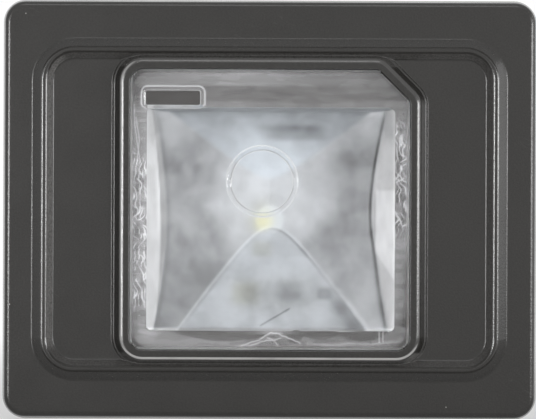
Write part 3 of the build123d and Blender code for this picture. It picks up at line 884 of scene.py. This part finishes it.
cracks = [
    [(-3.3, -15.9), (-2.0, -15.4), (-1.2, -15.2), (-0.5, -14.7), (0.2, -14.3)],
    [(0.2, -14.3), (1.2, -14.5), (2.4, -15.0), (3.6, -15.5)],
    [(-2.4, -15.9), (-0.8, -15.3), (0.5, -15.2), (1.0, -15.8)],
    [(-0.2, -14.9), (0.5, -15.2), (1.4, -14.9)],
]
threads = [
    [(-15.8, 12.2), (-15.75, 9.9), (-15.35, 7.0), (-15.0, 5.2)],
    [(-15.6, 10.7), (-15.2, 8.1), (-15.5, 5.2)],
    [(12.8, -13.8), (12.8, -15.4)],
    [(13.25, -13.8), (13.25, -15.3)],
]


def wave(x, z, middle, half_length, depth):
    """1 inside a dark swag that hangs from the dish's bottom edge."""
    hang = depth * (1 - ((x - middle) / half_length) ** 2)
    return smooth_step(z - wave_top + hang, 0.0, 0.15) * smooth_step(hang, 0.0, 0.2)


def wrinkled(x, v):
    """How much of the bead's sides is wrinkled at each height."""
    left = smooth_step(v, -11.5, -9.0) * smooth_step(v, 9.5, 6.5)
    right = smooth_step(v, -3.5, 0.0) * smooth_step(v, 12.0, 10.0)
    return np.where(x < 0, left, 0.1 + 0.9 * right)


def side_strands(x, z):
    """1 along the fine wrinkles of the bead's sides."""
    drift = 0.3 * cloud_map(x, z, 2.0, 1.0, 3.1)
    layers = [strands(x + drift, z, 0.65, 3.0, slant, seed) for slant, seed in strand_layers]
    return np.max(layers, axis=0)


def side_paleness(x, z, v, folds, strand):
    """How pale the bead is beside the dish: plain, with painted highlights along its wrinkles and painted
    shade in the pockets between them.
    """
    lower_right = smooth_step(v, -3.0, -6.0) * smooth_step(x, 14.8, 16.0)
    left = profile(v, *side_tones["left"])
    right = profile(v, *side_tones["right"]) - 0.1 * lower_right
    pocket_shade = smooth_step(cloud_map(x, z, 0.6, 1.6, 22.6), 0.05, 0.45)
    return np.where(x < 0, left, right) + folds * (strand_highlight_tone * strand - pocket_shade_tone * pocket_shade)


def bottom_paleness(x, z, ragged, crack):
    """How pale the bead is below the dish: dark swags, a ragged pale crest and a pale lap in the middle."""
    dark_wave = np.max([wave(x, z, *swag) for swag in waves], axis=0)
    crest = drawn_lines(x, z + ragged, [pale_crest], 0.16)
    under_left = smooth_step(x, -1.5, -3.5)
    lap = smooth_step(z, -14.6, -14.4) * hill(x - 0.6, 1.9)
    plain = (0.08 + 0.04 * under_left) * (1 - 0.6 * dark_wave * (1 - crack))
    return plain + crest_tone * crest + lap_tone * lap


def top_paleness(x, z):
    """How pale the bead is above the dish: more along the lens's edge and just above the dish."""
    upper = 0.025 + 0.075 * hill(x + 3.0, 6.0)
    lower = 0.047 - 0.024 * smooth_step(x, -5.0, 1.0)
    return 0.063 + upper * smooth_step(z, 14.2, 14.7) + lower * smooth_step(z, 12.9, 12.45)


def bead_paleness(x, z, v):
    """How pale the bead is at each point, and where its wrinkles and its cracks stand up."""
    half_width = mouth_half_width / MM
    half_height = mouth_half_height / MM
    beside = smooth_step(np.abs(x), half_width - 0.6, half_width - 0.3)
    below = smooth_step(-v, half_height - 0.7, half_height - 0.4)
    above = smooth_step(v, half_height - 0.5, half_height - 0.1)
    folds = wrinkled(x, v)
    strand = side_strands(x, z)
    streak = cloud_map(x, z, 7.0, 0.5, 30.4)
    ragged = 0.1 * cloud_map(x, z, 0.5, 0.5, 41.8)
    crack = drawn_lines(x + ragged, z + ragged, cracks, 0.08)
    thread = drawn_lines(x + 0.3 * ragged, z, threads, 0.06)
    curl = drawn_lines(x, z, [corner_curl], 0.5)
    sides = side_paleness(x, z, v, folds, strand) + 0.06 * curl
    bottom = bottom_paleness(x, z, ragged, crack) + 0.02 * streak + 0.08 * curl
    top = top_paleness(x, z) + 0.03 * streak
    plain = beside * (1 - below) * (1 - above) * sides + below * bottom + above * top
    pale = plain + crack_tone * crack * below + thread_tone * thread
    return pale, strand * beside * folds, crack * below


def under_pad(pale, x, z):
    """The paleness made dark under the lens's pad, with a faint painted glint inside it and painted
    highlights of the pad's frame along its two lines.
    """
    across = x - pad_middle[0]
    along = z - pad_middle[1]
    in_pad = rounded_box(across, along, pad_half_length, pad_half_height, pad_corner)
    glint = 0.006 * smooth_step(in_pad, 0.0, 0.1) * hill(across - 0.8, 1.6)
    # painted highlights of the pad's bevelled frame, seen on the bead
    frame_highlight_tone = np.where(along < -pad_half_height, 0.12, 0.35)
    frame_highlight_lines = hill(in_pad + 0.17, 0.08) + hill(in_pad + 0.5, 0.1)
    return pale * smooth_step(in_pad, 0.1, 0.0) + glint + frame_highlight_tone * frame_highlight_lines


def inside_bead(x, z):
    """How far points lie inside the bead's outer edge, which has the lens's cut corner."""
    in_cut = (bead_high.x + bead_high.z - lens_cut - x - z) / math.sqrt(2)
    return np.minimum(rounded_box(x, z, bead_half_width, bead_half_height, bead_corner), in_cut)


def inside_mouth(x, z):
    """How far points lie inside the bead's opening, whose lower edge creeps over the dish's rim."""
    creep = creep_reach * cloud_map(x, z, 3.5 * MM, 9 * MM, 5.3) * (z < dish_low.z + creep_height)
    v = z - dish_middle.z
    return rounded_box(x - mouth_shift, v - creep, mouth_half_width, mouth_half_height, mouth_corner)


def bead():
    """The bead that bonds the lens: wrinkled at the sides, wavy below, streaked above, dark under the pad."""
    xs = grid_lines(-bead_half_width, bead_half_width, bead_grid)
    zs = grid_lines(-bead_half_height, bead_half_height, bead_grid)
    x, z = np.meshgrid(xs, zs, indexing="ij")
    v = z - dish_middle.z
    middle_x = cell_middles(x)
    middle_z = cell_middles(z)
    keep = (inside_bead(middle_x, middle_z) > 0) & ~(inside_mouth(middle_x, middle_z) > 0)
    pale, strand, crack = bead_paleness(x / MM, z / MM, v / MM)
    pale = under_pad(pale, x / MM, z / MM) * smooth_step(inside_bead(x, z), *bead_fade)
    front = lens_back + bead_gap - wrinkle_height * np.maximum(strand, crack)
    wall_half_width = mouth_half_width + chamber_rim
    wall_half_height = mouth_half_height + chamber_rim
    on_ledge = rounded_box(x, v, wall_half_width, wall_half_height, chamber_rim) < 0
    back = np.where(on_ledge, ledge, front + bead_film)
    piece = plate_mesh("lens_bead", xs, zs, front, back, keep, {"pale": (pale, pale)})
    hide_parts("lens_sealant")
    return piece


def grey(value):
    return (value, value, value, 1)


def area_light(name, place, width, height, radiance):
    """A soft lamp of that size and brightness, turned to the object."""
    data = bpy.data.lights.new(name, "AREA")
    data.shape = "RECTANGLE"
    data.size = width
    data.size_y = height
    data.energy = radiance * math.pi * width * height
    lamp = bpy.data.objects.new(name, data)
    lamp.location = place
    lamp.rotation_euler = (-Vector(place)).to_track_quat("-Z", "Y").to_euler()
    scene.collection.objects.link(lamp)


def world_light():
    """Even soft light, with a white background for what is seen directly, mirrored or through glass."""
    tree = Tree(bpy.data.worlds.new("studio"))
    strength = tree.ranged(tree.seen(), 0.0, 1.0, ambient_light, 1.0)
    background = tree.node("ShaderNodeBackground", {"Color": grey(1.0), "Strength": strength}).outputs[0]
    scene.world = tree.finish(background, "ShaderNodeOutputWorld")


def floor():
    """A pale floor under the lamp, which is seen to fade into the white background."""
    level = housing_low.z - floor_gap
    mesh = bpy.data.meshes.new("floor")
    corners = [(-1, -1), (1, -1), (1, 1), (-1, 1)]
    mesh.from_pydata([(x * floor_reach, y * floor_reach, level) for x, y in corners], [], [(0, 1, 2, 3)])
    piece = bpy.data.objects.new("floor", mesh)
    scene.collection.objects.link(piece)
    tree = material_tree("floor_white")
    away = tree.node("ShaderNodeVectorMath", {0: tree.place()}, operation="LENGTH").outputs["Value"]
    colour = tree.mixed(tree.noise(20 * MM, 3.0), grey(0.84), grey(0.88))
    pale = tree.principled(Base_Color=colour, Roughness=0.7)
    white = tree.node("ShaderNodeEmission", {"Color": grey(1.0), "Strength": 1.0}).outputs[0]
    whiteness = tree.times(tree.seen(), tree.ranged(away, *floor_fade, 0.5, 1.0))
    blend = tree.node("ShaderNodeMixShader", {0: whiteness, 1: pale, 2: white}).outputs[0]
    mesh.materials.append(tree.finish(blend))


def camera():
    """The photograph's view: straight at the lens, with the bezel as large and as placed as it is there."""
    data = bpy.data.cameras.new("camera")
    data.sensor_width = 36.0
    data.sensor_fit = "HORIZONTAL"
    data.lens = data.sensor_width * camera_distance / (pixel * photo_width)
    piece = bpy.data.objects.new("camera", data)
    offset_x = (photo_width / 2 - bezel_pixel_x) * pixel
    offset_z = (bezel_pixel_y - photo_height / 2) * pixel
    piece.location = (offset_x, collar_level + outline_depth - camera_distance, offset_z)
    piece.rotation_euler = (math.radians(90), -photo_roll, 0)
    scene.collection.objects.link(piece)
    scene.camera = piece


def dress(materials):
    """Gives each carried-over node its slot's material."""
    for entry in frame["record"]["subparts"]:
        mesh = nodes[entry["node"]].data
        mesh.materials.clear()
        mesh.materials.append(materials[entry["material_slot"]])


materials = slot_materials()
dress(materials)
for piece, slot in ((dish(), "clear_diffuser"), (bead(), "sealant")):
    piece.data.materials.append(materials[slot])
    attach(piece, "root")

world_light()
for name, (place, width, height, radiance) in lamps.items():
    area_light(name, place, width, height, radiance)
floor()
camera()
scene.view_settings.view_transform = "Standard"
